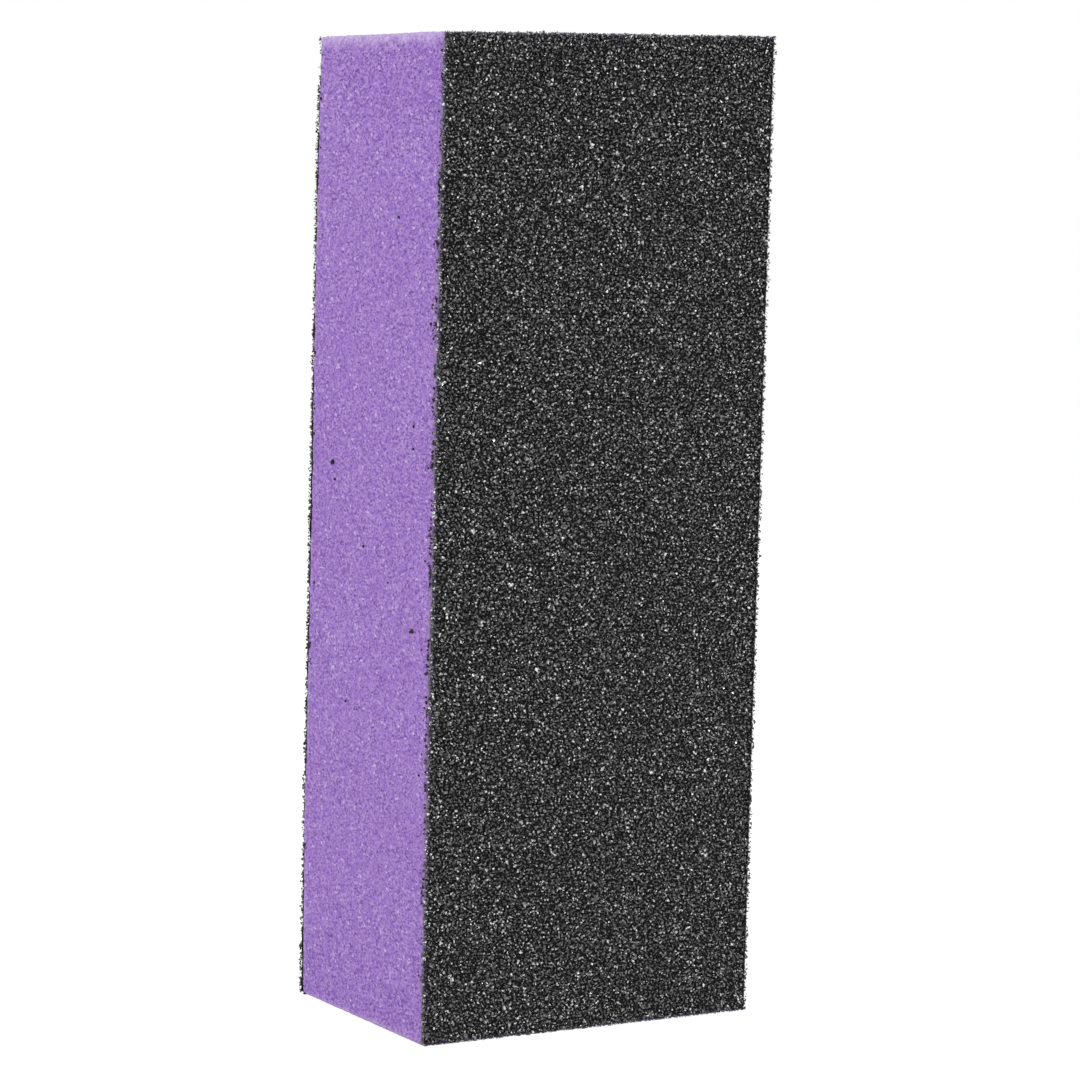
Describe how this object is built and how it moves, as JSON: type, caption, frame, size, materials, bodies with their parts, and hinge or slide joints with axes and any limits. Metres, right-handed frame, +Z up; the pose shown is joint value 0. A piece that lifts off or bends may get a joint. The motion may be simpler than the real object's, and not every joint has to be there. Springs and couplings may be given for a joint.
{
  "type": "nail buffer block",
  "caption": "Brick-shaped foam nail buffer with black abrasive grit bonded to both wide faces and one narrow face; the other narrow face and the ends are bare foam.",
  "frame": {"origin": "middle of the bottom end, on the surface that the block stands on", "axes": "+Z up along the block's length; -Y out of the front wide face; +X out of the narrow face that has grit, and -X out of the bare foam face"},
  "size_m": [0.0368, 0.025, 0.0955],
  "materials": {
    "foam": "matte",
    "resin": "satin",
    "grit": "satin"
  },
  "bodies": {
    "root": {"foam_core": "foam", "front_face_binder": "resin", "front_face_grit": "grit", "back_face_binder": "resin", "back_face_grit": "grit", "side_face_binder": "resin", "side_face_grit": "grit"}
  },
  "joints": []
}
